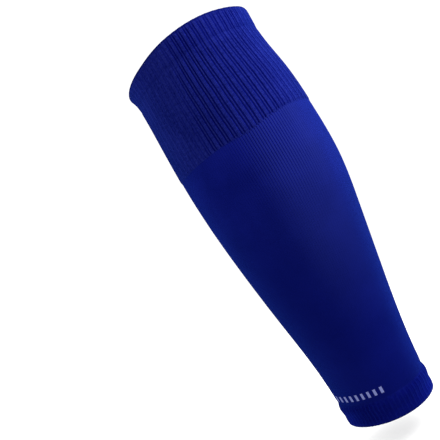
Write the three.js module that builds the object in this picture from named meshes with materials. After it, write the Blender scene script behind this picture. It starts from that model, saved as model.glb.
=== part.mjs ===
// Footless football sock: a knitted tube in the form that it has on a leg.
// Millimetres. +Z runs up the leg to the knee, -X is the shin and +X the calf.
// The origin is on the leg's centre line, at the middle of the ribbed cuff that grips the calf.
import * as THREE from "three";

// Heights of the zones above the ankle rim
const HEM_TOP = 18;
const CUFF_START = 233;
const WELT_START = 305;
const SOCK_LENGTH = 321;
const GRIP_HEIGHT = (CUFF_START + WELT_START) / 2;

// Two zones meet at a knitted course with a small clearance between their solids
const COURSE_GAP = 0.3;
const HALF_GAP = COURSE_GAP / 2;

// The knit has two raised columns and one sunk column in each rib
const RIBS = 60;
const PLAIN_FACETS = 60;
const RIB_CORNERS = [
  { phase: 0.0, sunk: 0 },
  { phase: 0.58, sunk: 0 },
  { phase: 0.7, sunk: 1 },
  { phase: 0.88, sunk: 1 },
];
const PLAIN_CORNERS = [{ phase: 0, sunk: 0 }];

// Wall thicknesses, how far each ribbed face stands out of the leg's skin, and furrow depths
const LEG_WALL = 1.4;
const CUFF_WALL = 2.2;
const CUFF_FACE = 0.5;
const CUFF_FURROW = 1.0;
const WELT_WALL = 2.8;
const WELT_FACE = 0.6;
const WELT_FURROW = 0.5;
const HEM_WALL = 2.2;
const HEM_FACE = 0.4;
const HEM_FURROW = 0.5;

// The linking course pinches the knit in where the cuff meets the welt, and the welt swells above it
const LINK_PINCH = 0.3;
const WELT_SWELL = 5;

// The hem's upper edge bulges out at one height under its top, over a straight band
const BULGE_OUT = 0.7;
const BULGE_BELOW_TOP = 5.5;
const BAND_BELOW_TOP = 11.5;

// The two rims are rounded over this height and keep a narrow flat at the end.
// The top rim is higher at the calf than at the shin, by RIM_TILT for each millimetre across.
const RIM_ROUND = 1.6;
const RIM_FLAT = 1.4;
const RIM_TILT = 0.033;

// The leg's outer skin: reach from the centre line to the shin and the calf, and half its width.
// EGG makes the calf side of a section broader than the shin side.
const EGG = 0.11;
const LEG_SECTIONS = [
  { height: 0, shin: 38.5, calf: 34.5, side: 31.5 },
  { height: 21, shin: 38.5, calf: 35.5, side: 32 },
  { height: 46, shin: 40, calf: 38.5, side: 34.5 },
  { height: 96, shin: 46.5, calf: 47.5, side: 42.5 },
  { height: 146, shin: 52.5, calf: 57.5, side: 51.5 },
  { height: 191, shin: 56, calf: 65, side: 58 },
  { height: 231, shin: 57.5, calf: 66.5, side: 59.5 },
  { height: 271, shin: 57.5, calf: 65, side: 59 },
  { height: 305, shin: 57.5, calf: 60.7, side: 57 },
  { height: 321, shin: 58, calf: 61.2, side: 57.5 },
];

const legSizes = new THREE.CubicInterpolant(
  LEG_SECTIONS.map((row) => row.height),
  LEG_SECTIONS.flatMap((row) => [row.shin, row.calf, row.side]),
  3,
);

// One level section of the leg's outer skin, counter-clockwise from the back of the calf
class LegSection extends THREE.Curve {
  constructor(height) {
    super();
    [this.shin, this.calf, this.side] = legSizes.evaluate(height);
    this.arcLengthDivisions = 720;
  }

  getPoint(turn, target = new THREE.Vector3()) {
    const angle = 2 * Math.PI * turn;
    const centre = (this.calf - this.shin) / 2;
    const reach = (this.calf + this.shin) / 2;
    const broader = 1 + EGG * Math.cos(angle);
    return target.set(centre + reach * Math.cos(angle), this.side * Math.sin(angle) * broader, 0);
  }

  // A point at a share of the way round, moved out of the skin by a distance
  pointOutside(share, distance) {
    const tangent = this.getTangentAt(share);
    const outwards = new THREE.Vector3(tangent.y, -tangent.x, 0);
    return this.getPointAt(share).addScaledVector(outwards, distance);
  }
}

// A closed wall round the leg. Its profile goes up the outer face and down the inner one:
// each row has a height, how far it stands out of the leg's skin, how deep the furrows between
// its ribs are there, and a tilt if it rises towards the calf.
function knittedWall(profile, ribCount, ribCorners) {
  const places = [];
  for (let rib = 0; rib < ribCount; rib++) {
    for (const corner of ribCorners) {
      places.push({ share: (rib + corner.phase) / ribCount, sunk: corner.sunk });
    }
  }
  const positions = [];
  for (const row of profile) {
    const section = new LegSection(row.height);
    for (const place of places) {
      const point = section.pointOutside(place.share, row.out - place.sunk * row.furrow);
      positions.push(point.x, point.y, row.height + (row.tilt ?? 0) * point.x);
    }
  }
  const indices = [];
  for (let level = 0; level < profile.length; level++) {
    const lower = level * places.length;
    const upper = ((level + 1) % profile.length) * places.length;
    for (let here = 0; here < places.length; here++) {
      const next = (here + 1) % places.length;
      indices.push(lower + here, lower + next, upper + next);
      indices.push(lower + here, upper + next, upper + here);
    }
  }
  const wall = new THREE.BufferGeometry();
  wall.setAttribute("position", new THREE.Float32BufferAttribute(positions, 3));
  wall.setIndex(indices);
  wall.computeVertexNormals();
  return wall;
}

function knitMaterial(colour, roughness) {
  return new THREE.MeshStandardMaterial({ color: colour, roughness, metalness: 0 });
}

// Top welt: the knit turned down over itself, a double band with a rounded fold at the rim
function topWelt() {
  const base = WELT_START + HALF_GAP;
  const fold = SOCK_LENGTH - RIM_ROUND;
  const inside = WELT_FACE - WELT_WALL;
  const profile = [
    { height: base, out: CUFF_FACE - LINK_PINCH, furrow: WELT_FURROW },
    { height: WELT_START + WELT_SWELL, out: WELT_FACE, furrow: WELT_FURROW },
    { height: fold, out: WELT_FACE, furrow: WELT_FURROW, tilt: RIM_TILT },
    { height: SOCK_LENGTH, out: inside + RIM_FLAT, furrow: 0, tilt: RIM_TILT },
    { height: SOCK_LENGTH, out: inside + RIM_FLAT / 2, furrow: 0, tilt: RIM_TILT },
    { height: fold, out: inside, furrow: 0, tilt: RIM_TILT },
    { height: base, out: inside, furrow: 0 },
  ];
  const welt = new THREE.Mesh(knittedWall(profile, RIBS, RIB_CORNERS), knitMaterial(0x18229a, 0.85));
  welt.name = "top_welt";
  return welt;
}

// Ribbed cuff: deep ribs that hold the sock on the calf
function ribbedCuff() {
  const base = CUFF_START + HALF_GAP;
  const top = WELT_START - HALF_GAP;
  const middle = (base + top) / 2;
  const inside = CUFF_FACE - CUFF_WALL;
  const profile = [
    { height: base, out: CUFF_FACE, furrow: CUFF_FURROW },
    { height: middle, out: CUFF_FACE, furrow: CUFF_FURROW },
    { height: top, out: CUFF_FACE - LINK_PINCH, furrow: CUFF_FURROW },
    { height: top, out: inside, furrow: 0 },
    { height: middle, out: inside, furrow: 0 },
    { height: base, out: inside, furrow: 0 },
  ];
  const cuff = new THREE.Mesh(knittedWall(profile, RIBS, RIB_CORNERS), knitMaterial(0x161f94, 0.9));
  cuff.name = "ribbed_cuff";
  return cuff;
}

// Plain leg: smooth fine knit from the cuff down to the hem
function plainLeg() {
  const base = HEM_TOP + HALF_GAP;
  const top = CUFF_START - HALF_GAP;
  const spans = 8;
  const outer = [];
  for (let step = 0; step <= spans; step++) {
    outer.push({ height: base + ((top - base) * step) / spans, out: 0, furrow: 0 });
  }
  const inner = outer.map((row) => ({ ...row, out: -LEG_WALL })).reverse();
  const leg = new THREE.Mesh(
    knittedWall([...outer, ...inner], PLAIN_FACETS, PLAIN_CORNERS),
    knitMaterial(0x121a86, 0.8),
  );
  leg.name = "plain_leg";
  return leg;
}

// Ankle hem: a turned rib band with a rounded rim, whose upper edge bulges over the leg above it
function ankleHem() {
  const top = HEM_TOP - HALF_GAP;
  const bulge = HEM_TOP - BULGE_BELOW_TOP;
  const band = HEM_TOP - BAND_BELOW_TOP;
  const inside = HEM_FACE - HEM_WALL;
  const profile = [
    { height: 0, out: inside + RIM_FLAT, furrow: 0 },
    { height: RIM_ROUND, out: HEM_FACE, furrow: HEM_FURROW },
    { height: band, out: HEM_FACE, furrow: HEM_FURROW },
    { height: bulge, out: HEM_FACE + BULGE_OUT, furrow: HEM_FURROW },
    { height: top, out: HEM_FACE, furrow: 0 },
    { height: top, out: inside, furrow: 0 },
    { height: 0, out: inside, furrow: 0 },
  ];
  const hem = new THREE.Mesh(knittedWall(profile, RIBS, RIB_CORNERS), knitMaterial(0x101886, 0.85));
  hem.name = "ankle_hem";
  return hem;
}

const sock = new THREE.Group();
sock.add(topWelt(), ribbedCuff(), plainLeg(), ankleHem());
for (const piece of sock.children) {
  piece.position.z = -GRIP_HEIGHT;
}

export default sock;
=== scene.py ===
"""Looks of a footless football sock: its four knitted zones, their linking stitches, light and camera."""

import math

import bpy
import numpy as np
from mathutils import Matrix, Vector


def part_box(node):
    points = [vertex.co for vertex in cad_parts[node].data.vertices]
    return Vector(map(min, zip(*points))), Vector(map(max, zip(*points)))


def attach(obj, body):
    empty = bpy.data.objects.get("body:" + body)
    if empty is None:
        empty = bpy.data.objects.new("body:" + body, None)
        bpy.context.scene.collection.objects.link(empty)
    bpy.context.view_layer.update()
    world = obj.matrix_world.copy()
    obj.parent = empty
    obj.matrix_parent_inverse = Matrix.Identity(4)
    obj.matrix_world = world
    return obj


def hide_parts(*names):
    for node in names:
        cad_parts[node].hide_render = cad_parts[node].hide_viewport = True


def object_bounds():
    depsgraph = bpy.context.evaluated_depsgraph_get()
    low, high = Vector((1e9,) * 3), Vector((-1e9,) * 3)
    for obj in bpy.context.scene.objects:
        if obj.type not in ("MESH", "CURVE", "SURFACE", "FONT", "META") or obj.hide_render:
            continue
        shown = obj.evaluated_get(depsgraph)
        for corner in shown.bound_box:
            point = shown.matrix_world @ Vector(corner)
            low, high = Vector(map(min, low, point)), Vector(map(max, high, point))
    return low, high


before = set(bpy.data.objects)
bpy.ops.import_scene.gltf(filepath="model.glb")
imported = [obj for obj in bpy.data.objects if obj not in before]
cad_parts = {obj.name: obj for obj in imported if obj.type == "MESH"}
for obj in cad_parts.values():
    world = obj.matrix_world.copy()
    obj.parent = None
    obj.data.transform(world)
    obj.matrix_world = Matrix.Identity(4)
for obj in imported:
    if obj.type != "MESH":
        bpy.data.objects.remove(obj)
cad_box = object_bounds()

MM = 0.001

# Heights of the zones in millimetres above the ankle rim, read from the solids.
# The top rim rises to the back of the calf, so its mean height is lower than its highest point.
ANKLE_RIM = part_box("ankle_hem")[0].z


def height_of(level):
    return (level - ANKLE_RIM) / MM


HEM_TOP = height_of((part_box("ankle_hem")[1].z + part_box("plain_leg")[0].z) / 2)
CUFF_START = height_of((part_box("plain_leg")[1].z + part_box("ribbed_cuff")[0].z) / 2)
WELT_START = height_of((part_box("ribbed_cuff")[1].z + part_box("top_welt")[0].z) / 2)
RIM_RISE = 2.0
SOCK_LENGTH = height_of(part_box("top_welt")[1].z) - RIM_RISE

# Knit gauge: columns of stitches round the leg, two raised and one sunk in each rib,
# and the height of a course in millimetres
RIBS = 60
WALES_PER_RIB = 3
WALES = RIBS * WALES_PER_RIB
COURSE = 1.2

# Wall thicknesses in millimetres
LEG_WALL = 1.4
CUFF_WALL = 2.2
WELT_WALL = 2.8
HEM_WALL = 2.2

# How far the ribbed faces stand out of the leg's skin, and how deep their furrows are, in millimetres
CUFF_FACE = 0.5
CUFF_FURROW = 0.85
WELT_FACE = 0.6
WELT_FURROW = 0.6
HEM_FURROW = 0.44
WALE_DEPTH = 0.42

# The linking course under the welt stands out less than the faces above and below it
LINK_FACE = 0.2

# Folds at the rims: their height as a share of half the wall, and what is left of the ribs on them
FOLD_ROUND = 0.7
FOLD_RIBS = 0.3

# Towards the top the cuff's ribs open further from the shin, by this share of half the girth in each metre
RIB_LEAN = 1.2

# The ribs wander by a share of a rib, and the knit's face is uneven by so many millimetres
RIB_WANDER = 0.18
UNEVENNESS = 0.15
KNIT_SEED = 3.0

# Points of the walls' grids in each rib or column
WELT_RIB_POINTS = 16
CUFF_RIB_POINTS = 20
HEM_RIB_POINTS = 16
WALE_POINTS = 6

# The knit's slip round the leg in millimetres: it is drawn together at the leg's sides, bows along
# the cuff and gathers at the top. Then the shares of the way round of the near side and of where it gathers.
SIDE_DRAW = 2.4
CUFF_BOW = 1.5
TOP_GATHER = 4.0
NEAR_SIDE = 0.75
GATHERED_AT = 0.82

# Linking stitches: reach over a column, bow in yarn radii, spans and corners of the yarn, its radius in
# millimetres, its slant with the spread of it, and how far it stands off the wall's inner face
STITCH_REACH = 1.5
STITCH_BOW = 1.5
STITCH_SPANS = 5
YARN_CORNERS = 6
YARN_RADIUS = 0.32
STITCH_SLANT = math.radians(28)
SLANT_SPREAD = 0.15
STITCH_OFF = 0.25

# The leg's outer skin in millimetres: reach from the centre line to shin and calf, and half its width.
# EGG makes the calf side of a section broader than the shin side.
EGG = 0.11
LEG_TABLE = [
    {"height": 0, "shin": 38.5, "calf": 34, "side": 31.5},
    {"height": 21, "shin": 38.5, "calf": 35.5, "side": 32},
    {"height": 46, "shin": 39.7, "calf": 38.5, "side": 34.5},
    {"height": 96, "shin": 46, "calf": 47.6, "side": 42.5},
    {"height": 146, "shin": 52, "calf": 57.8, "side": 51.5},
    {"height": 191, "shin": 55.8, "calf": 65.4, "side": 58},
    {"height": 231, "shin": 57.2, "calf": 66.5, "side": 59.5},
    {"height": 271, "shin": 56.5, "calf": 64.7, "side": 59},
    {"height": 305, "shin": 56.4, "calf": 60.7, "side": 57},
    {"height": 313, "shin": 57.3, "calf": 60.6, "side": 57.2},
    {"height": 321, "shin": 60, "calf": 60.9, "side": 57.5},
]

# The hem's outer face: how far it stands out at each height
HEM_TABLE = [
    {"height": 1, "out": 0.4},
    {"height": 3.5, "out": 0.6},
    {"height": 6.5, "out": 0.35},
    {"height": 9.5, "out": 0.7},
    {"height": 12.5, "out": 1.15},
    {"height": 15.2, "out": 0.8},
    {"height": 18, "out": -0.3},
]
HEM_FACE = HEM_TABLE[0]["out"]

# One rib from the start of its raised pair of columns: a broad top with a shallow crease between the two,
# then a furrow whose sunk column stands in it as a low ridge
RIB_SHAPE = [
    (0.0, 0.5), (0.04, 0.86), (0.1, 1.0), (0.22, 0.94), (0.35, 1.0), (0.42, 0.9), (0.465, 0.5),
    (0.51, 0.16), (0.545, 0.03), (0.59, 0.08), (0.64, 0.34), (0.69, 0.52), (0.74, 0.57), (0.79, 0.5),
    (0.84, 0.3), (0.885, 0.06), (0.92, 0.0), (0.96, 0.14), (1.0, 0.5),
]
SUNK_COLUMN = [(0.0, 0.0), (0.61, 0.0), (0.68, 0.8), (0.74, 1.0), (0.8, 0.8), (0.87, 0.0), (1.0, 0.0)]
# How deep the furrows are from the middle of the shin, at 0, round to the back of the calf, at 1:
# the cuff lies tight and flat over the shin and opens at the leg's sides
RIB_OPENING = [
    (0.0, 0.36), (0.2, 0.32), (0.36, 0.22), (0.455, 0.24), (0.52, 0.8), (0.57, 0.9), (0.63, 0.78),
    (0.68, 0.7), (0.76, 0.76), (0.83, 0.82), (0.88, 0.58), (0.93, 0.46), (1.0, 0.5),
]
# The hem's furrows are even, but drawn flat over the leg's side
HEM_OPENING = [
    (0.0, 0.7), (0.3, 0.9), (0.4, 1.0), (0.48, 0.7), (0.55, 0.42), (0.62, 0.3), (0.7, 0.38), (0.78, 0.6),
    (0.86, 0.85), (1.0, 0.9),
]
# How plainly the leg's columns show from the shin round to the calf
WALE_OPENING = [
    (0.0, 0.25), (0.46, 0.25), (0.58, 0.65), (0.66, 0.9), (0.78, 0.75), (0.86, 0.3), (1.0, 0.12),
]
# How strongly a painted highlight pales the leg's knit from the shin round to the calf,
# most on the side that the key light falls on.
LIT_SIDE_CURVE = [
    (0.0, 0.0), (0.5, 0.05), (0.62, 0.55), (0.72, 0.95), (0.8, 0.9), (0.9, 0.5), (1.0, 0.25),
]
# One column of plain knit: rounded, with a narrow valley at its edges
WALE_SHAPE = [(0.0, 0.0), (0.12, 0.45), (0.3, 0.9), (0.5, 1.0), (0.7, 0.9), (0.88, 0.45), (1.0, 0.0)]

# The top rim is higher at the calf than at the shin, by this much for each millimetre across
RIM_TILT = 0.033

# The courses that bound the zones aren't quite level. Each row has a share of the way round from the back
# of the calf, and how far these courses lie above their own heights there, in millimetres.
EDGE_TABLE = [
    {"share": 0.0, "cuff": 3.6, "welt": 4.2, "rim": 2.7},
    {"share": 0.03, "cuff": 3.6, "welt": 4.6, "rim": 3.3},
    {"share": 0.08, "cuff": 3.2, "welt": 4.3, "rim": 3.2},
    {"share": 0.16, "cuff": 2.1, "welt": 2.6, "rim": 2.2},
    {"share": 0.26, "cuff": 0.9, "welt": 0.6, "rim": 0.8},
    {"share": 0.38, "cuff": 0.2, "welt": -0.7, "rim": 0.1},
    {"share": 0.48, "cuff": 0.0, "welt": -1.2, "rim": -0.2},
    {"share": 0.58, "cuff": -0.5, "welt": -1.8, "rim": -1.0},
    {"share": 0.7, "cuff": -1.2, "welt": -2.2, "rim": -1.4},
    {"share": 0.77, "cuff": -1.6, "welt": -2.0, "rim": -0.2},
    {"share": 0.82, "cuff": -3.0, "welt": -1.8, "rim": 0.0},
    {"share": 0.87, "cuff": 0.2, "welt": -1.4, "rim": 0.0},
    {"share": 0.915, "cuff": 2.2, "welt": -0.4, "rim": 0.0},
    {"share": 0.96, "cuff": 3.0, "welt": 1.6, "rim": 0.9},
]
# Places round the leg in such a course's line, how far the line overlaps itself, and its smoothing window.
# The leg's courses are level from LEVEL_BELOW millimetres under the cuff.
EDGE_PLACES = 720
EDGE_OVERLAP = 60
EDGE_WINDOW = 33
LEVEL_BELOW = 60

# Yarn colours, with painted light: painted shade darkens the knit towards the ankle, and painted highlights
# pale it on the leg's lit side and at the hem's shin and back
ANKLE_SHADE_BLUE = (0.0024, 0.0045, 0.084, 1.0)
CALF_BLUE = (0.0047, 0.0079, 0.13, 1.0)
RIB_BLUE = (0.009, 0.0135, 0.128, 1.0)
HEM_EDGE_HIGHLIGHT_BLUE = (0.0045, 0.0085, 0.2, 1.0)
LIT_SIDE_BLUE = (0.0165, 0.025, 0.135, 1.0)
# Deep blue for painted shade between the stitches' yarn legs and along the rims, and for the dark side of
# the dye's uneven tone
DEEP_DYE_AND_SHADE_BLUE = (0.0009, 0.0018, 0.046, 1.0)
# Painted shade in the ribs' furrows
FURROW_SHADE_BLUE = (0.0004, 0.0009, 0.046, 1.0)
CORE_BLUE = (0.0095, 0.0132, 0.096, 1.0)
PALE_YARN = (0.17, 0.19, 0.4, 1.0)
# Painted shade in the furrows and the valleys between columns: a tint that keeps the yarn's blue and takes
# out its red and green
HOLLOW_SHADE_TINT = (0.1, 0.22, 1.0, 1.0)
# The soft sheen of the knit's fine fibres
SHEEN_TINT = (0.04, 0.16, 1.0, 1.0)
SHEEN_WEIGHT = 0.155
SHEEN_ROUGHNESS = 0.35

# Noise in the dye, as its scale and detail: slow clouds, fine fibres and the grain of the ribs' yarn
CLOUDS = (38, 3)
FIBRES = (2600, 2)
GRAIN = (650, 1)
# How strongly fibres and grain show in the dye, and what the stitches, as painted shade between their yarn
# legs, and the dye give to the shade
FIBRE_SHARE = 0.9
GRAIN_SHARE = 1.5
STITCH_SHADE = 0.35
DYE_SHADE = 0.75
# How strongly each tint shows: painted shade in the hollows, the furrows and at the rims, the sunk columns'
# own colour broken by the grain, and painted highlights at the hem and on the leg's lit side
HOLLOW_SHADE_CURVE = 0.6
HOLLOW_SHADE_SHARE = 0.95
FURROW_SHADE_SHARE = 0.9
CORE_BREAKS = 1.8
HEM_HIGHLIGHT_SHARE = 0.28
RIM_SHADE_SHARE = 0.8
LIT_SIDE_SHARE = 0.19
# Heights above the ankle rim in metres between which a colour comes or goes: the painted shade towards the
# ankle, the hem's painted highlight, and the two rises of the painted highlight on the leg's lit side
ANKLE_TO_CALF = (0.12, 0.24)
HEM_FADE = (0.008, 0.021)
LIT_SIDE_RISE = (0.05, 0.16)
CREST_RISE = (0.16, 0.21)
# The leg's side as a share of the way from shin to back, and how far from it the hem's painted highlight
# begins and is strongest
LEG_SIDE = 0.55
SIDE_DARK = 0.16
SIDE_LIGHT = 0.42
# Depth of the stitches' relief in millimetres
FACE_STITCH_DEPTH = 0.32
REVERSE_STITCH_DEPTH = 0.3

# The row of bars: its first and last column, the columns from bar to bar and in each bar,
# its middle course and its reach from there
BAR_FIRST = 88
BAR_LAST = 145
BAR_STEP = 5
BAR_WIDTH = 2
BAR_MIDDLE = 4.5
BAR_REACH = 1.75

# The camera: it stands off the sock's side, a little to the calf, and leans over
CAMERA_DISTANCE = 0.42
CAMERA_AZIMUTH = math.radians(20)
CAMERA_HEIGHT = 0.159
CAMERA_ROLL = math.radians(30.6)
CAMERA_YAW = math.radians(-7.5)
CAMERA_PITCH = math.radians(0.85)
PICTURE_WIDTH = 440
FOCAL_PIXELS = 515.6
SENSOR_WIDTH = 36

# Soft lights: name, place and size in metres, and power
LIGHTS = [
    ("key", (0.46, -0.04, 0.22), (0.25, 0.35), 5.6),
    ("calf_edge", (0.33, 0.52, 0.1), (0.15, 0.5), 5.2),
    ("shin_edge", (-0.62, 0.1, 0.0), (0.2, 0.6), 0.8),
    ("shin_top", (-0.42, -0.4, 0.3), (0.2, 0.3), 0.6),
]
SKY_STRENGTH = 1.12
# Half the floor's side, and how far it lies under the ankle rim, in metres
FLOOR_HALF = 4.0
FLOOR_DROP = 0.02


def smooth_curve(table, column):
    """A natural cubic spline through one column of a table, as a function of height in millimetres."""
    x = np.array([row["height"] for row in table], float)
    y = np.array([row[column] for row in table], float)
    gap = np.diff(x)
    slope = np.diff(y) / gap
    system = np.eye(len(x))
    bends = np.zeros(len(x))
    for i in range(1, len(x) - 1):
        system[i, i - 1:i + 2] = gap[i - 1], 2 * (gap[i - 1] + gap[i]), gap[i]
        bends[i] = 6 * (slope[i] - slope[i - 1])
    second = np.linalg.solve(system, bends)

    def value(height):
        i = int(np.clip(np.searchsorted(x, height) - 1, 0, len(gap) - 1))
        after = height - x[i]
        before = x[i + 1] - height
        cubic = second[i] * before**3 + second[i + 1] * after**3
        low = y[i] / gap[i] - second[i] * gap[i] / 6
        high = y[i + 1] / gap[i] - second[i + 1] * gap[i] / 6
        return cubic / (6 * gap[i]) + low * before + high * after

    return value


LEG_SIZES = [smooth_curve(LEG_TABLE, column) for column in ("shin", "calf", "side")]
TURN = np.linspace(0, 2 * math.pi, 1441)


def leg_ring(height, shares):
    """Points of the leg's skin at shares of its girth, their outward directions, and the girth."""
    shin, calf, side = (size(height) for size in LEG_SIZES)
    x = (calf - shin) / 2 + (calf + shin) / 2 * np.cos(TURN)
    y = side * np.sin(TURN) * (1 + EGG * np.cos(TURN))
    length = np.concatenate([[0], np.cumsum(np.hypot(np.diff(x), np.diff(y)))])
    along = shares * length[-1]
    dx = np.interp(along, length, np.gradient(x))
    dy = np.interp(along, length, np.gradient(y))
    speed = np.hypot(dx, dy)
    places = np.stack([np.interp(along, length, x), np.interp(along, length, y)], axis=1)
    return places, np.stack([dy / speed, -dx / speed], axis=1), length[-1]


def girth_at(height):
    """The leg's girth in millimetres."""
    return leg_ring(height, np.zeros(1))[2]


def ease(start, end, value):
    """0 before start, 1 after end, with a smooth change between."""
    t = np.clip((value - start) / (end - start), 0, 1)
    return t * t * (3 - 2 * t)


def levels(low, high, fine=0.5, coarse=2.5, margin=4):
    """Heights from low to high, close together near both ends."""
    count = max(1, round((high - low - 2 * margin) / coarse))
    start = np.arange(low, low + margin, fine)
    middle = np.linspace(low + margin, high - margin, count + 1)
    end = high - (start - low)
    return np.unique(np.concatenate([start, middle, end]).round(4))


def rows_of(heights, out, ribs=0.0, wales=0.0, inside=0.0, rim=0.0):
    """Rows of a wall's profile. Each size is a number or a function of height."""
    def at(value, height):
        return float(value(height)) if callable(value) else float(value)

    return [(float(h), at(out, h), at(ribs, h), at(wales, h), inside, at(rim, h)) for h in heights]


def fold_rows(height, outer, inner, upwards, ribs, steps=10):
    """A rounded fold from one face of a wall to the other, at a rim."""
    radius = abs(outer - inner) / 2
    middle = (outer + inner) / 2
    rows = []
    for step in range(1, steps):
        angle = math.pi * step / steps
        rise = FOLD_ROUND * radius * math.sin(angle) * (1 if upwards else -1)
        reach = middle + (outer - inner) / 2 * math.cos(angle)
        left = ribs * math.cos(angle / 2) ** 2
        turned = float(angle > math.pi / 2)
        # Painted shade along the fold, strongest where it turns over
        rim = math.sin(angle) ** 0.5
        rows.append((height + rise, reach, left, 0.0, turned, rim))
    return rows


def knit_drift(height, shares):
    """How far the knit has slipped round the leg, in millimetres: it is drawn together at the leg's sides,
    and the cuff's ribs bow a little and gather towards its top."""
    up = np.clip((height - CUFF_START) / (SOCK_LENGTH - CUFF_START), 0, 1)
    drawn = -SIDE_DRAW * np.sin(4 * math.pi * (shares - NEAR_SIDE))
    bow = -CUFF_BOW * math.sin(math.pi * up)
    gather = -TOP_GATHER * up * np.sin(2 * math.pi * (shares - GATHERED_AT))
    return drawn + bow + gather


def edge_line(edge):
    """How far one bounding course lies above its own height, smoothed, at even places round the leg."""
    places = np.arange(-EDGE_OVERLAP, EDGE_PLACES + EDGE_OVERLAP) / EDGE_PLACES
    shares = [row["share"] for row in EDGE_TABLE]
    line = np.interp(places, shares, [row[edge] for row in EDGE_TABLE], period=1)
    window = np.hanning(EDGE_WINDOW)
    return np.convolve(line, window / window.sum(), mode="same")[EDGE_OVERLAP:-EDGE_OVERLAP]


EDGE_LINES = {edge: edge_line(edge) for edge in ("cuff", "welt", "rim")}


def course_shift(height, shares):
    """How far a course lies above its own level, in millimetres: it follows the bounding courses
    next to it."""
    places = np.arange(EDGE_PLACES) / EDGE_PLACES
    at = {edge: np.interp(shares, places, line, period=1) for edge, line in EDGE_LINES.items()}
    if height < CUFF_START:
        return at["cuff"] * ease(CUFF_START - LEVEL_BELOW, CUFF_START, height)
    if height < WELT_START:
        up = (height - CUFF_START) / (WELT_START - CUFF_START)
        return at["cuff"] * (1 - up) + at["welt"] * up
    up = min((height - WELT_START) / (SOCK_LENGTH - WELT_START), 1.0)
    return at["welt"] * (1 - up) + at["rim"] * up


def knit_wall(name, rows, columns):
    """A closed wall of knit round the leg, as a grid of points with what its relief and finish need."""
    shares = np.arange(columns) / columns
    profile = np.array([row[:2] for row in rows])
    level_step = np.abs(np.diff(profile[:, 0])) < 1e-6
    cuts = [0, *(np.flatnonzero(level_step) + 1), len(rows)]
    run = np.concatenate([np.gradient(profile[a:b], axis=0) for a, b in zip(cuts, cuts[1:])])
    facing = np.stack([run[:, 0], -run[:, 1]], axis=1)
    facing /= np.linalg.norm(facing, axis=1)[:, None]
    travel = np.concatenate([[0], np.cumsum(np.hypot(*np.diff(profile, axis=0).T))])
    points, outward = [], []
    for (height, out, *_), (face_out, face_up) in zip(rows, facing):
        slipped = (shares + knit_drift(height, shares) / girth_at(height)) % 1.0
        shift = course_shift(height, slipped)
        places, directions, _ = leg_ring(height, slipped)
        higher = leg_ring(height + 1, slipped)[0]
        places = places + (higher - places) * shift[:, None] + directions * out
        level = height + shift + RIM_TILT * ease(WELT_START, SOCK_LENGTH, height) * places[:, 0]
        points.append(np.hstack([places * MM, ANKLE_RIM + level[:, None] * MM]))
        outward.append(np.hstack([directions * face_out, np.full((columns, 1), face_up)]))

    here = np.arange(columns)
    onward = (here + 1) % columns
    faces = []
    for row in range(len(rows)):
        above = (row + 1) % len(rows)
        low, high = row * columns, above * columns
        faces.append(np.stack([low + here, low + onward, high + onward, high + here], axis=1))
    faces = np.concatenate(faces)

    mesh = bpy.data.meshes.new(name)
    mesh.from_pydata(np.concatenate(points).tolist(), [], faces.tolist())
    mesh.polygons.foreach_set("use_smooth", np.ones(len(faces), bool))

    def give(attribute, kind, field, values):
        layer = mesh.attributes.new(attribute, kind, "POINT")
        layer.data.foreach_set(field, np.asarray(values, np.float32).ravel())

    give("outward", "FLOAT_VECTOR", "vector", np.concatenate(outward))
    give("share", "FLOAT", "value", np.tile(shares, len(rows)))
    for column, attribute in enumerate(("ribs", "wales", "inside", "rim"), start=2):
        give(attribute, "FLOAT", "value", np.repeat([row[column] for row in rows], columns))

    # Knit coordinates: one unit across is a column of stitches, one unit along is a course
    across = np.stack([here, here + 1, here + 1, here], axis=1) * WALES / columns
    knit = np.zeros((len(rows), columns, 4, 2))
    knit[..., 0] = across
    course = travel / COURSE
    closing = np.append(course[1:], course[-1] + 2)
    knit[..., 0:2, 1] = course[:, None, None]
    knit[..., 2:4, 1] = closing[:, None, None]
    mesh.uv_layers.new(name="knit").data.foreach_set("uv", knit.astype(np.float32).ravel())

    # The wall's cut ends are creased, so that shading doesn't run round them
    ends = np.zeros(len(mesh.edges) * 2, np.int64)
    mesh.edges.foreach_get("vertices", ends)
    ends = ends.reshape(-1, 2) // columns
    end_rows = [row % len(rows) for cut in cuts for row in (cut - 1, cut)]
    cut = (ends[:, 0] == ends[:, 1]) & np.isin(ends[:, 0], end_rows)
    mesh.attributes.new("sharp_edge", "BOOLEAN", "EDGE").data.foreach_set("value", cut)
    mesh.validate()
    piece = bpy.data.objects.new(name, mesh)
    bpy.context.scene.collection.objects.link(piece)
    return piece


def add(tree, kind, feeds=(), **settings):
    """A new node with its settings, whose inputs are fed from sockets or set to values."""
    node = tree.nodes.new(kind)
    for key, value in settings.items():
        setattr(node, key, value)
    pairs = feeds.items() if isinstance(feeds, dict) else enumerate(feeds)
    for key, value in pairs:
        if isinstance(value, bpy.types.NodeSocket):
            tree.links.new(value, node.inputs[key])
        else:
            node.inputs[key].default_value = value
    return node


def calc(tree, operation, *values):
    """The result of one Math node."""
    return add(tree, "ShaderNodeMath", values, operation=operation).outputs[0]


def new_tree(name, inputs):
    """A Geometry Nodes tree with named inputs. Returns the tree, its input sockets and its output node."""
    tree = bpy.data.node_groups.new(name, "GeometryNodeTree")
    tree.interface.new_socket("Geometry", in_out="INPUT", socket_type="NodeSocketGeometry")
    tree.interface.new_socket("Geometry", in_out="OUTPUT", socket_type="NodeSocketGeometry")
    for label, kind in inputs:
        tree.interface.new_socket(label, in_out="INPUT", socket_type=f"NodeSocket{kind}")
    tree.is_modifier = True
    entry = tree.nodes.new("NodeGroupInput")
    return tree, entry.outputs, tree.nodes.new("NodeGroupOutput")


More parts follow.
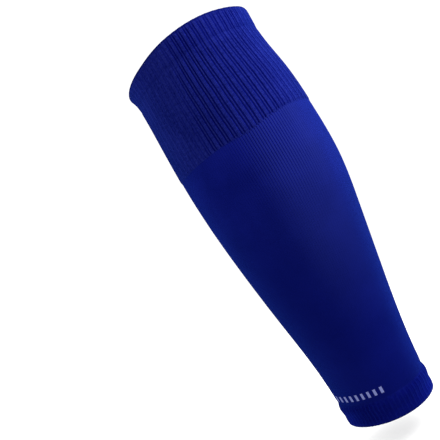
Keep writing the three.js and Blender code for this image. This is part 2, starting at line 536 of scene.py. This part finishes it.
def run_tree(piece, tree, values):
    """Runs a tree on a piece and keeps the result as the piece's own plain mesh."""
    modifier = piece.modifiers.new(tree.name, "NODES")
    modifier.node_group = tree
    for item in tree.interface.items_tree:
        if item.in_out == "INPUT" and item.name in values:
            modifier[item.identifier] = values[item.name]
    graph = bpy.context.evaluated_depsgraph_get()
    made = bpy.data.meshes.new_from_object(
        piece.evaluated_get(graph), preserve_all_data_layers=True, depsgraph=graph)
    piece.modifiers.remove(modifier)
    base = piece.data
    piece.data = made
    bpy.data.meshes.remove(base)
    made.name = piece.name


def draw_curve(node, shape):
    """Sets a Float Curve node's points."""
    curve = node.mapping.curves[0]
    for x, y in shape[1:-1]:
        curve.points.new(x, y)
    curve.points[0].location = shape[0]
    curve.points[-1].location = shape[-1]
    node.mapping.update()


def relief_tree():
    """Raises ribs and columns of stitches on a wall of knit, with a little of a real knit's unevenness."""
    tree, given, end = new_tree("knit_relief", [
        ("Ribs", "Float"), ("Furrow Depth", "Float"), ("Wales", "Float"), ("Wale Depth", "Float"),
        ("Wander", "Float"), ("Unevenness", "Float"), ("Core Show", "Float"), ("Evenness", "Float"),
        ("Lean", "Float"), ("Seed", "Float"),
        ("Face Knit", "Material"), ("Reverse Knit", "Material"),
    ])

    def attribute(name, kind="FLOAT"):
        return add(tree, "GeometryNodeInputNamedAttribute", [name], data_type=kind).outputs["Attribute"]

    def noise(scale, detail):
        node = add(tree, "ShaderNodeTexNoise", noise_dimensions="4D")
        tree.links.new(tree.nodes.new("GeometryNodeInputPosition").outputs[0], node.inputs["Vector"])
        tree.links.new(given["Seed"], node.inputs["W"])
        node.inputs["Scale"].default_value = scale
        node.inputs["Detail"].default_value = detail
        return calc(tree, "SUBTRACT", node.outputs[0], 0.5)

    def shaped_by(value, shape):
        curve = add(tree, "ShaderNodeFloatCurve", {"Value": value})
        draw_curve(curve, shape)
        return curve.outputs[0]

    def phase(count, wander):
        return calc(tree, "FRACT", calc(tree, "MULTIPLY_ADD", attribute("share"), count, wander))

    wander = calc(tree, "MULTIPLY", noise(scale=55, detail=1), given["Wander"])
    from_shin = calc(tree, "ABSOLUTE", calc(tree, "MULTIPLY_ADD", attribute("share"), 2.0, -1.0))
    place = add(tree, "ShaderNodeSeparateXYZ", [tree.nodes.new("GeometryNodeInputPosition").outputs[0]])
    leaning = calc(tree, "MULTIPLY_ADD", place.outputs["Z"], given["Lean"], from_shin)
    gathered = calc(tree, "MULTIPLY", shaped_by(leaning, RIB_OPENING),
                    calc(tree, "SUBTRACT", 1.0, given["Evenness"]))
    even = calc(tree, "MULTIPLY", shaped_by(from_shin, HEM_OPENING), given["Evenness"])
    opening = calc(tree, "MULTIPLY", calc(tree, "ADD", gathered, even), attribute("ribs"))
    rib_phase = phase(given["Ribs"], wander)
    rib = calc(tree, "MULTIPLY", calc(tree, "SUBTRACT", shaped_by(rib_phase, RIB_SHAPE), 1.0), opening)
    core = calc(tree, "MULTIPLY", opening, given["Core Show"])
    sunk = calc(tree, "MULTIPLY", shaped_by(rib_phase, SUNK_COLUMN), core)
    wale_shape = shaped_by(phase(given["Wales"], 0.0), WALE_SHAPE)
    # How strongly the side that the key light falls on takes a painted highlight
    lit_side = shaped_by(from_shin, LIT_SIDE_CURVE)
    shown = calc(tree, "MULTIPLY", shaped_by(from_shin, WALE_OPENING), attribute("wales"))
    wale = calc(tree, "MULTIPLY", calc(tree, "SUBTRACT", wale_shape, 1.0), shown)
    ribbed = calc(tree, "MULTIPLY", rib, given["Furrow Depth"])
    fine = calc(tree, "MULTIPLY_ADD", wale, given["Wale Depth"], ribbed)
    depth = calc(tree, "MULTIPLY_ADD", noise(scale=45, detail=2), given["Unevenness"], fine)
    offset = add(tree, "ShaderNodeVectorMath", operation="SCALE")
    tree.links.new(attribute("outward", "FLOAT_VECTOR"), offset.inputs[0])
    tree.links.new(depth, offset.inputs["Scale"])
    shaped = add(tree, "GeometryNodeSetPosition",
                 {"Geometry": given["Geometry"], "Offset": offset.outputs[0]})
    kept = shaped.outputs[0]
    # Left on the points for the finishes: the depth of furrows and valleys, which they darken as painted
    # shade, the sunk column, and the lit side, which they pale as a painted highlight
    hollow = calc(tree, "MULTIPLY", calc(tree, "ADD", rib, wale), -1.0)
    for name, value in (("furrow", hollow), ("sunk", sunk), ("lit_side", lit_side)):
        store = add(tree, "GeometryNodeStoreNamedAttribute",
                    {"Geometry": kept, "Name": name, "Value": value}, data_type="FLOAT", domain="POINT")
        kept = store.outputs[0]
    whole = add(tree, "GeometryNodeRealizeInstances", [kept])
    faced = add(tree, "GeometryNodeSetMaterial",
                {"Geometry": whole.outputs[0], "Material": given["Face Knit"]})
    turned = calc(tree, "GREATER_THAN", attribute("inside"), 0.5)
    backed = add(tree, "GeometryNodeSetMaterial",
                 {"Geometry": faced.outputs[0], "Selection": turned, "Material": given["Reverse Knit"]})
    tree.links.new(backed.outputs[0], end.inputs[0])
    return tree


def stitch_row_tree():
    """Sets small linking stitches side by side along a ring round the leg."""
    tree, given, end = new_tree("linking_stitches", [
        ("Stitches", "Int"), ("Stitch Length", "Float"), ("Yarn Radius", "Float"), ("Slant", "Float"),
        ("Seed", "Int"), ("Yarn", "Material"),
    ])
    ring = add(tree, "GeometryNodeMeshToCurve", [given["Geometry"]])
    places = add(tree, "GeometryNodeCurveToPoints",
                 {"Curve": ring.outputs[0], "Count": given["Stitches"]}, mode="COUNT")
    half = calc(tree, "MULTIPLY", given["Stitch Length"], 0.5)
    back = calc(tree, "MULTIPLY", half, -1.0)
    bow = calc(tree, "MULTIPLY", given["Yarn Radius"], STITCH_BOW)
    start = add(tree, "ShaderNodeCombineXYZ", {"X": back})
    middle = add(tree, "ShaderNodeCombineXYZ", {"Y": bow})
    finish = add(tree, "ShaderNodeCombineXYZ", {"X": half})
    loop = add(tree, "GeometryNodeCurveQuadraticBezier",
               {"Resolution": STITCH_SPANS, "Start": start.outputs[0], "Middle": middle.outputs[0],
                "End": finish.outputs[0]})
    section = add(tree, "GeometryNodeCurvePrimitiveCircle",
                  {"Resolution": YARN_CORNERS, "Radius": given["Yarn Radius"]})
    yarn = add(tree, "GeometryNodeCurveToMesh",
               {"Curve": loop.outputs[0], "Profile Curve": section.outputs[0], "Fill Caps": True})
    turn = add(tree, "FunctionNodeRandomValue", {"Seed": given["Seed"]}, data_type="FLOAT")
    low, high = (s for s in turn.inputs if s.enabled and s.name in ("Min", "Max"))
    low.default_value = 1 - SLANT_SPREAD
    high.default_value = 1 + SLANT_SPREAD
    slant = calc(tree, "MULTIPLY", given["Slant"], next(s for s in turn.outputs if s.enabled))
    tilt = add(tree, "ShaderNodeCombineXYZ", {"Y": slant})
    aim = add(tree, "FunctionNodeAlignRotationToVector", {"Vector": places.outputs["Tangent"]},
              axis="X", pivot_axis="Z")
    lean = add(tree, "FunctionNodeRotateRotation", rotation_space="LOCAL")
    tree.links.new(aim.outputs[0], lean.inputs[0])
    tree.links.new(tilt.outputs[0], lean.inputs[1])
    row = add(tree, "GeometryNodeInstanceOnPoints",
              {"Points": places.outputs["Points"], "Instance": yarn.outputs[0],
               "Rotation": lean.outputs[0]})
    whole = add(tree, "GeometryNodeRealizeInstances", [row.outputs[0]])
    smooth = add(tree, "GeometryNodeSetShadeSmooth", [whole.outputs[0]])
    dressed = add(tree, "GeometryNodeSetMaterial",
                  {"Geometry": smooth.outputs[0], "Material": given["Yarn"]})
    tree.links.new(dressed.outputs[0], end.inputs[0])
    return tree


def new_material(name):
    """A new material. Returns it with its tree and its shader."""
    material = bpy.data.materials.new(name)
    material.use_nodes = True
    tree = material.node_tree
    shader = next(n for n in tree.nodes if n.type == "BSDF_PRINCIPLED")
    return material, tree, shader


def blend(tree, share, low, high, mode="MIX"):
    """A colour mixed from two by a share."""
    node = add(tree, "ShaderNodeMix", data_type="RGBA", blend_type=mode)
    sockets = [s for s in node.inputs if s.type == "RGBA"]
    for socket, value in ((node.inputs[0], share), (sockets[0], low), (sockets[1], high)):
        if isinstance(value, bpy.types.NodeSocket):
            tree.links.new(value, socket)
        else:
            socket.default_value = value
    return next(s for s in node.outputs if s.type == "RGBA")


def knit_coordinates(tree):
    """Columns across and courses along the knit."""
    uv = add(tree, "ShaderNodeUVMap", uv_map="knit")
    axes = add(tree, "ShaderNodeSeparateXYZ", [uv.outputs[0]])
    return axes.outputs[0], axes.outputs[1]


def face_stitches(tree, wale, course):
    """Height of the knit's face: two yarn legs in each column, slanted to a V in every course."""
    off = calc(tree, "ABSOLUTE", calc(tree, "SUBTRACT", calc(tree, "FRACT", wale), 0.5))
    leg = calc(tree, "MULTIPLY", calc(tree, "SUBTRACT", off, 0.25), 4.0)
    round_leg = calc(tree, "SUBTRACT", 1.0, calc(tree, "MULTIPLY", leg, leg))
    slope = calc(tree, "MULTIPLY_ADD", off, -1.6, course)
    beat = calc(tree, "COSINE", calc(tree, "MULTIPLY", slope, 2 * math.pi))
    return calc(tree, "MULTIPLY", round_leg, calc(tree, "MULTIPLY_ADD", beat, -0.28, 0.72))


def reverse_stitches(tree, wale, course):
    """Height of the knit's back: rows of small arcs that cross the columns."""
    arc = calc(tree, "COSINE", calc(tree, "MULTIPLY", wale, 2 * math.pi))
    lifted = calc(tree, "MULTIPLY_ADD", arc, 0.2, course)
    beat = calc(tree, "COSINE", calc(tree, "MULTIPLY", lifted, 2 * math.pi))
    return calc(tree, "MULTIPLY_ADD", beat, 0.5, 0.5)


def object_noise(tree, scale, detail):
    """Noise in the object's own space, from 0 to 1."""
    place = add(tree, "ShaderNodeTexCoord")
    node = add(tree, "ShaderNodeTexNoise",
               {"Vector": place.outputs["Object"], "Scale": scale, "Detail": detail})
    return node.outputs[0]


def bar_mark(tree, wale, course):
    """A short row of pale upright bars knitted in above the ankle hem, from the shin to the leg's side."""
    column = calc(tree, "FLOOR", wale)
    place = calc(tree, "MODULO", calc(tree, "SUBTRACT", column, BAR_FIRST), BAR_STEP)
    bar = calc(tree, "LESS_THAN", place, BAR_WIDTH - 0.5)
    span = calc(tree, "COMPARE", column, (BAR_FIRST + BAR_LAST) / 2, (BAR_LAST - BAR_FIRST) / 2)
    tall = calc(tree, "COMPARE", calc(tree, "FLOOR", course), BAR_MIDDLE, BAR_REACH)
    return calc(tree, "MULTIPLY", calc(tree, "MULTIPLY", bar, span), tall)


def rise_between(tree, low, high):
    """A share that rises from 0 to 1 between two heights above the ankle rim, in metres."""
    place = add(tree, "ShaderNodeTexCoord").outputs["Object"]
    level = add(tree, "ShaderNodeSeparateXYZ", [place]).outputs[2]
    rise = add(tree, "ShaderNodeMapRange", {
        "Value": level, "From Min": ANKLE_RIM + low, "From Max": ANKLE_RIM + high,
    }, interpolation_type="SMOOTHSTEP")
    return rise.outputs[0]


def off_the_side(tree, wale):
    """A share that rises from 0 at the leg's side to 1 at its shin and at its back."""
    from_shin = calc(tree, "ABSOLUTE", calc(tree, "MULTIPLY_ADD", wale, 2.0 / WALES, -1.0))
    away = calc(tree, "ABSOLUTE", calc(tree, "SUBTRACT", from_shin, LEG_SIDE))
    return add(tree, "ShaderNodeMapRange", {"Value": away, "From Min": SIDE_DARK, "From Max": SIDE_LIGHT},
               interpolation_type="SMOOTHSTEP").outputs[0]


def left_on_knit(tree, name):
    """A value that the relief or the wall's rows left on the knit's points."""
    return add(tree, "ShaderNodeAttribute", attribute_name=name).outputs["Fac"]


def yarn_colour_with_ankle_shade(tree, lit):
    """The yarn's colour, darkened towards the ankle by painted shade and turning to the lit colour towards
    the calf.
    """
    return blend(tree, rise_between(tree, *ANKLE_TO_CALF), ANKLE_SHADE_BLUE, lit)


def knit_finish(name, stitches, stitch_depth, ribbed=False, marked=False):
    """Dyed knit: uneven dye, painted shade in the furrows, between the stitches, at the rims and towards the
    ankle, painted highlights at the hem and on the leg's lit side, yarn relief and the soft sheen of fine
    fibres.
    """
    material, tree, shader = new_material(name)
    wale, course = knit_coordinates(tree)
    cloud = object_noise(tree, *CLOUDS)
    fibre = object_noise(tree, *FIBRES)
    dye = calc(tree, "MULTIPLY_ADD", calc(tree, "SUBTRACT", fibre, 0.5), FIBRE_SHARE, cloud)
    if ribbed:
        grain = calc(tree, "SUBTRACT", object_noise(tree, *GRAIN), 0.5)
        dye = calc(tree, "MULTIPLY_ADD", grain, GRAIN_SHARE, dye)
    height = stitches(tree, wale, course)
    # Painted shade between the stitches' yarn legs, with the dye's uneven tone, mixes the yarn's colour with
    # a deep blue; the yarn's colour itself darkens towards the ankle as painted shade
    shade = calc(tree, "MULTIPLY_ADD", height, STITCH_SHADE, calc(tree, "MULTIPLY", dye, DYE_SHADE))
    share = add(tree, "ShaderNodeClamp", [shade]).outputs[0]
    colour = blend(tree, share, DEEP_DYE_AND_SHADE_BLUE, yarn_colour_with_ankle_shade(tree, RIB_BLUE if ribbed else CALF_BLUE))
    # Painted shade in the ribs' furrows and in the valleys between columns
    furrow = left_on_knit(tree, "furrow")
    hollow = calc(tree, "POWER", calc(tree, "MAXIMUM", furrow, 0.0), HOLLOW_SHADE_CURVE)
    hollow_shade = calc(tree, "MULTIPLY", hollow, HOLLOW_SHADE_SHARE)
    colour = blend(tree, hollow_shade, colour, HOLLOW_SHADE_TINT, mode="MULTIPLY")
    if ribbed:
        colour = blend(tree, calc(tree, "MULTIPLY", furrow, FURROW_SHADE_SHARE), colour, FURROW_SHADE_BLUE)
        breaks = calc(tree, "MULTIPLY_ADD", grain, CORE_BREAKS, 1.0)
        broken = calc(tree, "MULTIPLY", left_on_knit(tree, "sunk"), breaks)
        colour = blend(tree, broken, colour, CORE_BLUE)
        # Painted highlight: the hem is paler towards its shin and its back
        at_hem = calc(tree, "SUBTRACT", 1.0, rise_between(tree, *HEM_FADE))
        painted_highlight = calc(tree, "MULTIPLY", off_the_side(tree, wale), at_hem)
        colour = blend(tree, calc(tree, "MULTIPLY", painted_highlight, HEM_HIGHLIGHT_SHARE), colour, HEM_EDGE_HIGHLIGHT_BLUE)
        # Painted shade makes a thin dark line along the folded rims; the linking course under the welt is a
        # little darker too
        rim = left_on_knit(tree, "rim")
        colour = blend(tree, calc(tree, "MULTIPLY", rim, RIM_SHADE_SHARE), colour, DEEP_DYE_AND_SHADE_BLUE)
    else:
        # Painted highlight: paler, greyer crests of the columns on the side the key light falls on, rising
        # in two steps towards the cuff
        crest = calc(tree, "MULTIPLY_ADD", hollow, -1.0, 1.0)
        lit = calc(tree, "MULTIPLY", left_on_knit(tree, "lit_side"), crest)
        drawn = calc(tree, "ADD", rise_between(tree, *LIT_SIDE_RISE), rise_between(tree, *CREST_RISE))
        painted_highlight = calc(tree, "MULTIPLY", lit, drawn)
        colour = blend(tree, calc(tree, "MULTIPLY", painted_highlight, LIT_SIDE_SHARE), colour, LIT_SIDE_BLUE)
    if marked:
        # The pale bars take the stitches' painted shade too
        stitch_shaded = calc(tree, "MULTIPLY_ADD", height, 0.4, 0.6)
        pale = calc(tree, "MULTIPLY", bar_mark(tree, wale, course), stitch_shaded)
        colour = blend(tree, pale, colour, PALE_YARN)
    tree.links.new(colour, shader.inputs["Base Color"])
    rough = calc(tree, "MULTIPLY_ADD", fibre, 0.2, 0.7)
    tree.links.new(rough, shader.inputs["Roughness"])
    relief = calc(tree, "MULTIPLY_ADD", fibre, 0.25, height)
    bump = add(tree, "ShaderNodeBump", {"Strength": 0.5, "Distance": stitch_depth * MM, "Height": relief})
    tree.links.new(bump.outputs[0], shader.inputs["Normal"])
    shader.inputs["Specular IOR Level"].default_value = 0.0
    shader.inputs["Sheen Weight"].default_value = SHEEN_WEIGHT
    shader.inputs["Sheen Roughness"].default_value = SHEEN_ROUGHNESS
    shader.inputs["Sheen Tint"].default_value = SHEEN_TINT
    return material


def floor_finish():
    """Pale matt studio floor with a faint mottle, lit through from below so that shadows stay light."""
    material, tree, shader = new_material("pale_floor")
    colour = blend(tree, object_noise(tree, 6, 3), (0.4, 0.4, 0.4, 1), (0.43, 0.43, 0.43, 1))
    tree.links.new(colour, shader.inputs["Base Color"])
    shader.inputs["Roughness"].default_value = 0.9
    shader.inputs["Specular IOR Level"].default_value = 0.1
    shader.inputs["Emission Color"].default_value = (1, 1, 1, 1)
    shader.inputs["Emission Strength"].default_value = 0.6
    return material


RIB_KNIT = knit_finish("rib_knit", face_stitches, FACE_STITCH_DEPTH, ribbed=True)
PLAIN_KNIT = knit_finish("plain_knit", face_stitches, FACE_STITCH_DEPTH, marked=True)
REVERSE_KNIT = knit_finish("reverse_knit", reverse_stitches, REVERSE_STITCH_DEPTH)
KNIT_RELIEF = relief_tree()
STITCH_ROW = stitch_row_tree()


def raise_knit(piece, furrow, wale_depth, face, core=0.0, even=0.0, lean=0.0):
    """Raises a piece's ribs and columns and gives it its finishes."""
    run_tree(piece, KNIT_RELIEF, {
        "Ribs": float(RIBS), "Furrow Depth": furrow * MM, "Core Show": core,
        "Evenness": even, "Lean": lean, "Wales": float(WALES), "Wale Depth": wale_depth * MM,
        "Wander": RIB_WANDER, "Unevenness": UNEVENNESS * MM, "Seed": KNIT_SEED,
        "Face Knit": face, "Reverse Knit": REVERSE_KNIT,
    })


def top_welt():
    """The knit turned down over itself at the top, with a rounded fold."""
    inner = WELT_FACE - WELT_WALL
    fold = SOCK_LENGTH - FOLD_ROUND * WELT_WALL / 2

    def face(height):
        return LINK_FACE + (WELT_FACE - LINK_FACE) * ease(0, 6, height - WELT_START)

    def ribs(height):
        return 1.0 - (1 - FOLD_RIBS) * ease(fold - 4, fold, height)

    # A thin dark line of painted shade along the fold's edge, and a little darker along the linking course
    # at the welt's base
    def rim(height):
        linked = 0.3 - 0.3 * ease(WELT_START + 0.5, WELT_START + 3.5, height)
        return linked + ease(fold - 1.2, fold, height)

    rows = rows_of(levels(WELT_START, fold, fine=0.5, coarse=1.5), face, ribs=ribs, rim=rim)
    rows += fold_rows(fold, WELT_FACE, inner, True, FOLD_RIBS)
    inner_levels = levels(WELT_START, fold, fine=1.0, coarse=2.5)[::-1]
    rows += rows_of(inner_levels, inner, ribs=-0.35, inside=1.0)
    piece = knit_wall("knit_top_welt", rows, RIBS * WELT_RIB_POINTS)
    raise_knit(piece, WELT_FURROW, 0.0, RIB_KNIT, core=0.5, lean=-RIB_LEAN)
    return piece


def ribbed_cuff():
    """Deep ribs that end in a crisp line at the plain leg."""
    inner = CUFF_FACE - CUFF_WALL

    def face(height):
        rise = ease(CUFF_START, CUFF_START + 3, height)
        pinch = ease(WELT_START - 5, WELT_START, height)
        return CUFF_FACE * rise - (CUFF_FACE - LINK_FACE) * pinch

    def ribs(height):
        opened = ease(CUFF_START - 0.2, CUFF_START + 0.8, height)
        softer = 1 - WELT_FURROW / CUFF_FURROW
        return opened - softer * ease(WELT_START - 8, WELT_START, height)

    rows = rows_of(levels(CUFF_START, WELT_START, fine=0.4, coarse=3), face, ribs=ribs)
    inner_levels = levels(CUFF_START, WELT_START, fine=1.5, coarse=6)[::-1]
    rows += rows_of(inner_levels, inner, ribs=-0.4, inside=1.0)
    piece = knit_wall("knit_ribbed_cuff", rows, RIBS * CUFF_RIB_POINTS)
    raise_knit(piece, CUFF_FURROW, 0.0, RIB_KNIT, core=0.8, lean=-RIB_LEAN)
    return piece


def plain_leg():
    """Smooth fine knit whose columns show most just under the cuff."""
    def face(height):
        at_hem = 1 - ease(HEM_TOP, HEM_TOP + 5, height)
        at_cuff = ease(CUFF_START - 3, CUFF_START, height)
        return -0.35 * at_hem - 0.12 * at_cuff

    def wales(height):
        return 0.15 + 0.85 * ease(CUFF_START - 75, CUFF_START - 15, height)

    rows = rows_of(levels(HEM_TOP, CUFF_START, fine=0.6, coarse=5), face, wales=wales)
    inner_levels = levels(HEM_TOP, CUFF_START, fine=2, coarse=12)[::-1]
    rows += rows_of(inner_levels, -LEG_WALL, wales=-0.5, inside=1.0)
    piece = knit_wall("knit_plain_leg", rows, WALES * WALE_POINTS)
    raise_knit(piece, 0.0, WALE_DEPTH, PLAIN_KNIT)
    return piece


def ankle_hem():
    """A turned ribbed band with a rounded rim and a bulge under the leg."""
    face = smooth_curve(HEM_TABLE, "out")
    inner = HEM_FACE - HEM_WALL
    rim = FOLD_ROUND * HEM_WALL / 2

    def ribs(height):
        risen = FOLD_RIBS + (1 - FOLD_RIBS) * ease(rim, rim + 4, height)
        return risen - ease(HEM_TOP - 2.5, HEM_TOP, height)

    rows = rows_of(levels(rim, HEM_TOP, fine=0.5, coarse=0.8, margin=2), face, ribs=ribs)
    inner_levels = levels(rim, HEM_TOP, fine=1, coarse=3, margin=2)[::-1]
    rows += rows_of(inner_levels, inner, ribs=-0.3, inside=1.0)
    rows += fold_rows(rim, HEM_FACE, inner, False, FOLD_RIBS)[::-1]
    piece = knit_wall("knit_ankle_hem", rows, RIBS * HEM_RIB_POINTS)
    raise_knit(piece, HEM_FURROW, 0.0, RIB_KNIT, core=0.15, even=1.0)
    return piece


def stitch_ring(name, height, out, seed):
    """A row of linking stitches on the inner face, one for each column of the knit."""
    shares = np.arange(WALES * 2) / (WALES * 2)
    places, directions, girth = leg_ring(height, shares)
    level = np.full((len(shares), 1), ANKLE_RIM + height * MM)
    points = np.hstack([(places + directions * out) * MM, level])
    edges = [(i, (i + 1) % len(shares)) for i in range(len(shares))]
    mesh = bpy.data.meshes.new(name)
    mesh.from_pydata(points.tolist(), edges, [])
    piece = bpy.data.objects.new(name, mesh)
    bpy.context.scene.collection.objects.link(piece)
    run_tree(piece, STITCH_ROW, {
        "Stitches": WALES, "Stitch Length": girth / WALES * STITCH_REACH * MM,
        "Yarn Radius": YARN_RADIUS * MM, "Slant": STITCH_SLANT, "Seed": seed, "Yarn": REVERSE_KNIT,
    })
    return piece


def turn_towards(one, other, angle):
    """Two square directions, turned from the first towards the second by an angle."""
    sin, cos = math.sin(angle), math.cos(angle)
    return one * cos + other * sin, other * cos - one * sin


def set_camera():
    """Stands the camera off the sock's side, leaning, so that the sock lies across the picture."""
    sin, cos = math.sin(CAMERA_AZIMUTH), math.cos(CAMERA_AZIMUTH)
    forward = Vector((-sin, cos, 0))
    right = Vector((cos, sin, 0))
    up = Vector((0, 0, 1))
    place = -forward * CAMERA_DISTANCE + up * (ANKLE_RIM + CAMERA_HEIGHT)
    right, up = turn_towards(right, up, -CAMERA_ROLL)
    forward, right = turn_towards(forward, right, CAMERA_YAW)
    forward, up = turn_towards(forward, up, CAMERA_PITCH)
    data = bpy.data.cameras.new("camera")
    data.sensor_width = SENSOR_WIDTH
    data.lens = FOCAL_PIXELS * SENSOR_WIDTH / PICTURE_WIDTH
    data.clip_start = 0.01
    camera = bpy.data.objects.new("camera", data)
    turn = Matrix((right, up, -forward)).transposed()
    camera.matrix_world = Matrix.Translation(place) @ turn.to_4x4()
    bpy.context.scene.collection.objects.link(camera)
    bpy.context.scene.camera = camera


def soft_light(name, place, size, power):
    """A flat soft light that looks at the middle of the sock."""
    data = bpy.data.lights.new(name, "AREA")
    data.shape = "RECTANGLE"
    data.size, data.size_y = size
    data.energy = power
    light = bpy.data.objects.new(name, data)
    target = Vector((0, 0, (cad_box[0].z + cad_box[1].z) / 2))
    light.location = Vector(place)
    light.rotation_euler = (target - light.location).to_track_quat("-Z", "Y").to_euler()
    bpy.context.scene.collection.objects.link(light)


def set_studio():
    """White surroundings, a pale floor under the sock and soft light, most of it from the calf's side."""
    world = bpy.data.worlds.new("studio")
    world.use_nodes = True
    sky = next(n for n in world.node_tree.nodes if n.type == "BACKGROUND")
    sky.inputs["Color"].default_value = (1, 1, 1, 1)
    sky.inputs["Strength"].default_value = SKY_STRENGTH
    bpy.context.scene.world = world
    bpy.context.scene.view_settings.view_transform = "Standard"
    half = FLOOR_HALF
    level = ANKLE_RIM - FLOOR_DROP
    corners = [(-half, -half, level), (half, -half, level), (half, half, level), (-half, half, level)]
    mesh = bpy.data.meshes.new("floor")
    mesh.from_pydata(corners, [], [(0, 1, 2, 3)])
    mesh.materials.append(floor_finish())
    floor = bpy.data.objects.new("floor", mesh)
    bpy.context.scene.collection.objects.link(floor)
    for name, place, size, power in LIGHTS:
        soft_light(name, place, size, power)


set_camera()
set_studio()

welt = top_welt()
cuff = ribbed_cuff()
leg = plain_leg()
hem = ankle_hem()
welt_stitches = stitch_ring(
    "welt_linking_stitches", WELT_START + 0.9, WELT_FACE - WELT_WALL - STITCH_OFF, seed=11)
hem_stitches = stitch_ring(
    "hem_linking_stitches", HEM_TOP - 1.0, HEM_FACE - HEM_WALL - STITCH_OFF, seed=12)

for piece, node, slot in (
    (welt, "top_welt", "ribbed_knit"),
    (cuff, "ribbed_cuff", "ribbed_knit"),
    (leg, "plain_leg", "plain_knit"),
    (hem, "ankle_hem", "ribbed_knit"),
):
    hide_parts(node)
    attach(piece, "root")
for piece in (welt_stitches, hem_stitches):
    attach(piece, "root")

leg_heights = np.linspace(HEM_TOP, CUFF_START, 60)
leg_area = np.mean([girth_at(h) for h in leg_heights]) * (CUFF_START - HEM_TOP) * MM * MM
girth_at(WELT_START) * MM
girth_at(CUFF_START) * MM
girth_at(CUFF_START) * MM
girth_at(HEM_TOP) * MM
